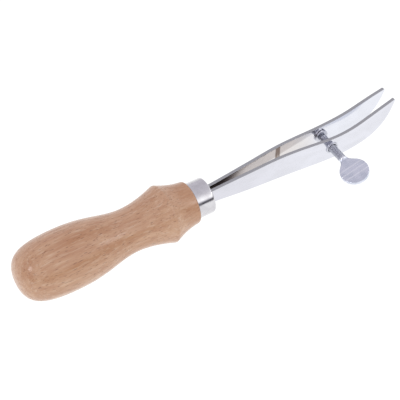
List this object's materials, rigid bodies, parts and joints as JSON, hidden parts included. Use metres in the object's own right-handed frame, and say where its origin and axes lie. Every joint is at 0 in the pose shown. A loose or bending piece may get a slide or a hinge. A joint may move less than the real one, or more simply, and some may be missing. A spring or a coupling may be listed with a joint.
{
  "type": "edge creaser",
  "caption": "Leather edge creaser with upswept spring-steel blades, a thumb screw that sets their gap, a metal ferrule and a turned wooden handle.",
  "frame": {"origin": "on the tool's axis, in the plane of the wooden shoulder that the ferrule stands on", "axes": "+X along the tool's axis towards the blade tips, +Z towards the hollow backs of the blades, -Y towards the thumb screw's head"},
  "size_m": [0.2, 0.0453, 0.0292],
  "materials": {
    "handle_wood": "clear gloss lacquer",
    "ferrule_plate": "bright plated",
    "blade_steel": "mirror polished",
    "hidden_steel": "plain",
    "screw_steel": "bright plated, grooved thumb plate"
  },
  "bodies": {
    "handle": {"handle": "handle_wood", "ferrule": "ferrule_plate", "left_blade_tang": "blade_steel", "right_blade_tang": "blade_steel", "tang_spacer": "hidden_steel", "tang_rivets": "hidden_steel"},
    "left_blade": {"left_blade": "blade_steel"},
    "right_blade": {"right_blade": "blade_steel", "threaded_bush": "screw_steel"},
    "thumb_screw": {"thumb_screw": "screw_steel", "swivel_washer_inner": "screw_steel", "swivel_washer_outer": "screw_steel"}
  },
  "joints": [
    {"name": "left_blade_flex", "type": "hinge", "parent": "handle", "child": "left_blade", "pos_m": [0.00855, 0.00155, 0], "axis": [0, 0, 1], "range_deg": [-1.5, 0.6]},
    {"name": "right_blade_flex", "type": "hinge", "parent": "handle", "child": "right_blade", "pos_m": [0.00855, -0.00155, 0], "axis": [0, 0, 1], "range_deg": [-0.6, 1.5]},
    {"name": "thumb_screw_turn", "type": "hinge", "parent": "left_blade", "child": "thumb_screw", "pos_m": [0.0757, 0, 0], "axis": [0, -1, 0], "range_deg": [-720, 1800]}
  ],
  "couplings": [
    {"joint": "left_blade_flex", "follows": "thumb_screw_turn", "ratio": -0.00083},
    {"joint": "right_blade_flex", "follows": "thumb_screw_turn", "ratio": 0.00083}
  ]
}
